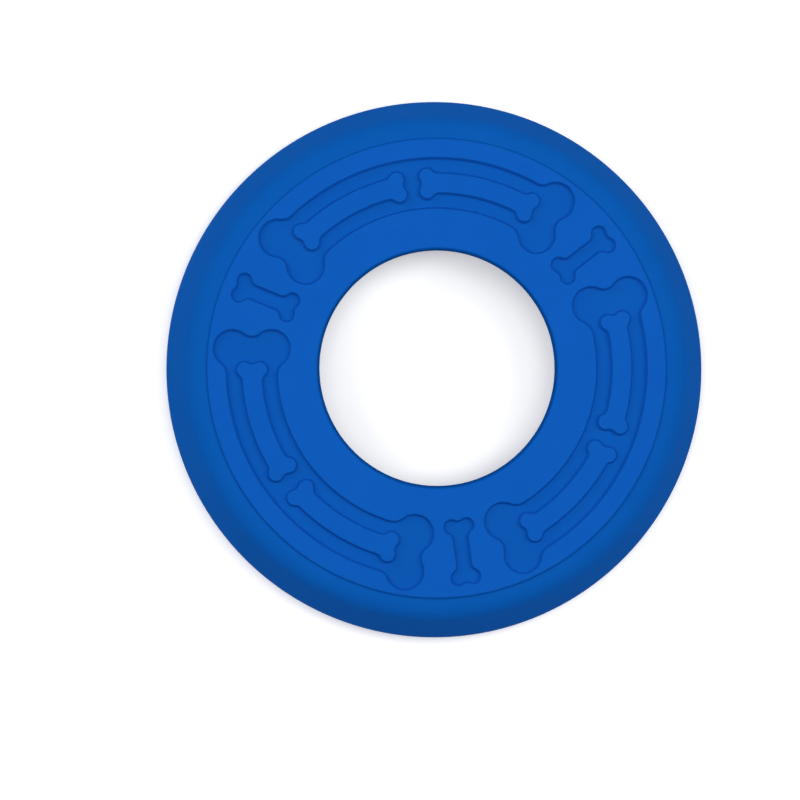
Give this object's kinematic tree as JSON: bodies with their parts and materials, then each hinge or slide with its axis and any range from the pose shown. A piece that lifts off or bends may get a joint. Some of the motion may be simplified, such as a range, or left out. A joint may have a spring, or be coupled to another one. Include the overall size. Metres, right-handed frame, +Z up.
{
  "type": "flying ring",
  "caption": "One-piece soft rubber flying ring with an open centre, a turned-down rim and shallow bone-shaped relief, thrown by hand for a dog to catch.",
  "frame": {"origin": "on the ring's axis, in the plane of the flat foot that it rests on", "axes": "+Z up along the ring's axis, out of the relief side; +Y through the middle of one long bone-shaped pocket"},
  "size_m": [0.255, 0.255, 0.03],
  "materials": {
    "blue_rubber": "matte moulded"
  },
  "bodies": {
    "root": {"flying_ring": "blue_rubber"}
  },
  "joints": []
}
